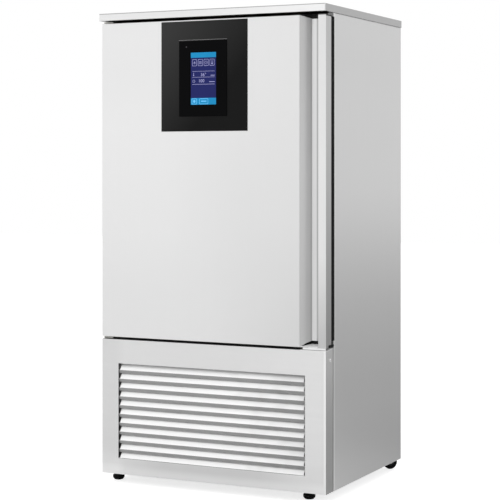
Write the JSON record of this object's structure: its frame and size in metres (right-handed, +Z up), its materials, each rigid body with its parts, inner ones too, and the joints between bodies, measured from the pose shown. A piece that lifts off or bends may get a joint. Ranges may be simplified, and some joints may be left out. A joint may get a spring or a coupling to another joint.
{
  "type": "blast chiller",
  "caption": "Upright steel blast chiller with an insulated door, touch-screen control panel, recessed full-height grip, louvred machine compartment, front feet and rear castors.",
  "frame": {"origin": "on the floor under the middle of the bounding box", "axes": "+Z up, -Y out of the door, +X to the right as seen from the front"},
  "size_m": [0.834, 0.71, 1.59],
  "materials": {
    "brushed_steel": "fine vertical brushed stainless steel",
    "liner_steel": "satin stainless steel",
    "galvanised": "zinc plated, matt",
    "aluminium": "mill finish",
    "copper": "plain copper tube",
    "black_paint": "semi-gloss black",
    "black_plastic": "matt black moulding",
    "gloss_black": "gloss black",
    "rubber": "matt black rubber",
    "screen_glass": "lit display under clear glass",
    "circuit_board": "green board",
    "foam": "rigid foam"
  },
  "bodies": {
    "cabinet": {"top_cap": "brushed_steel", "left_side_panel": "brushed_steel", "right_side_panel": "brushed_steel", "back_panel": "galvanised", "door_frame": "black_plastic", "chamber_foam": "foam", "chamber_liner": "liner_steel", "base_tray": "galvanised", "lower_front_panel": "brushed_steel", "panel_screw_left": "galvanised", "panel_screw_right": "galvanised", "louvre_grille": "brushed_steel", "hinge_bracket_upper": "galvanised", "hinge_bracket_lower": "galvanised", "castor_plate_left": "galvanised", "castor_plate_right": "galvanised", "tray_rack_left": "liner_steel", "tray_rack_right": "liner_steel", "fan_shroud": "liner_steel", "evap_fan_guard_upper": "liner_steel", "evap_fan_guard_lower": "liner_steel", "evap_fan_motor_upper": "black_paint", "evap_fan_motor_lower": "black_paint", "evaporator_coil": "aluminium", "drain_tube": "black_plastic", "condensate_pan": "black_plastic", "condenser_coil": "aluminium", "condenser_fan_shroud": "black_paint", "condenser_fan_motor": "black_paint", "compressor": "black_paint", "liquid_receiver": "black_paint", "filter_drier": "copper", "suction_line": "copper", "discharge_line": "copper", "receiver_line": "copper", "liquid_line": "copper", "power_box": "galvanised", "mains_gland": "black_plastic"},
    "door": {"door_outer_skin": "brushed_steel", "door_grip_profile": "brushed_steel", "door_core": "foam", "door_inner_liner": "liner_steel", "door_gasket": "rubber", "control_fascia": "black_plastic", "display_bezel": "gloss_black", "touch_screen": "screen_glass", "controller_board": "circuit_board", "hinge_bush_upper": "aluminium", "hinge_bush_lower": "aluminium"},
    "evap_fan_upper": {"evap_fan_rotor_upper": "aluminium"},
    "evap_fan_lower": {"evap_fan_rotor_lower": "aluminium"},
    "condenser_fan": {"condenser_fan_rotor": "aluminium"},
    "foot_left": {"front_foot_left": "rubber"},
    "foot_right": {"front_foot_right": "rubber"},
    "castor_left": {"castor_fork_left": "galvanised", "castor_axle_left": "galvanised"},
    "castor_right": {"castor_fork_right": "galvanised", "castor_axle_right": "galvanised"},
    "wheel_left": {"castor_wheel_left": "rubber"},
    "wheel_right": {"castor_wheel_right": "rubber"}
  },
  "joints": [
    {"name": "door_hinge", "type": "hinge", "parent": "cabinet", "child": "door", "pos_m": [-0.399, -0.317, 1.02725], "axis": [0, 0, -1], "range_deg": [0, 110]},
    {"name": "evap_fan_upper_spin", "type": "hinge", "parent": "cabinet", "child": "evap_fan_upper", "pos_m": [0, 0.181, 1.22935], "axis": [0, 1, 0], "continuous": true},
    {"name": "evap_fan_lower_spin", "type": "hinge", "parent": "cabinet", "child": "evap_fan_lower", "pos_m": [0, 0.181, 0.82935], "axis": [0, 1, 0], "continuous": true},
    {"name": "condenser_fan_spin", "type": "hinge", "parent": "cabinet", "child": "condenser_fan", "pos_m": [-0.13, -0.179, 0.2231], "axis": [0, 1, 0], "continuous": true},
    {"name": "foot_left_turn", "type": "hinge", "parent": "cabinet", "child": "foot_left", "pos_m": [-0.393, -0.263, 0.03], "axis": [0, 0, 1], "continuous": true},
    {"name": "foot_right_turn", "type": "hinge", "parent": "cabinet", "child": "foot_right", "pos_m": [0.322, -0.263, 0.03], "axis": [0, 0, 1], "continuous": true},
    {"name": "castor_left_swivel", "type": "hinge", "parent": "cabinet", "child": "castor_left", "pos_m": [-0.37017, 0.30141, 0.06], "axis": [0, 0, 1], "continuous": true},
    {"name": "castor_right_swivel", "type": "hinge", "parent": "cabinet", "child": "castor_right", "pos_m": [0.37017, 0.30141, 0.06], "axis": [0, 0, 1], "continuous": true},
    {"name": "wheel_left_roll", "type": "hinge", "parent": "castor_left", "child": "wheel_left", "pos_m": [-0.38136, 0.30984, 0.025], "axis": [-0.6018, -0.7986, 0], "continuous": true},
    {"name": "wheel_right_roll", "type": "hinge", "parent": "castor_right", "child": "wheel_right", "pos_m": [0.38136, 0.30984, 0.025], "axis": [-0.6018, 0.7986, 0], "continuous": true}
  ]
}
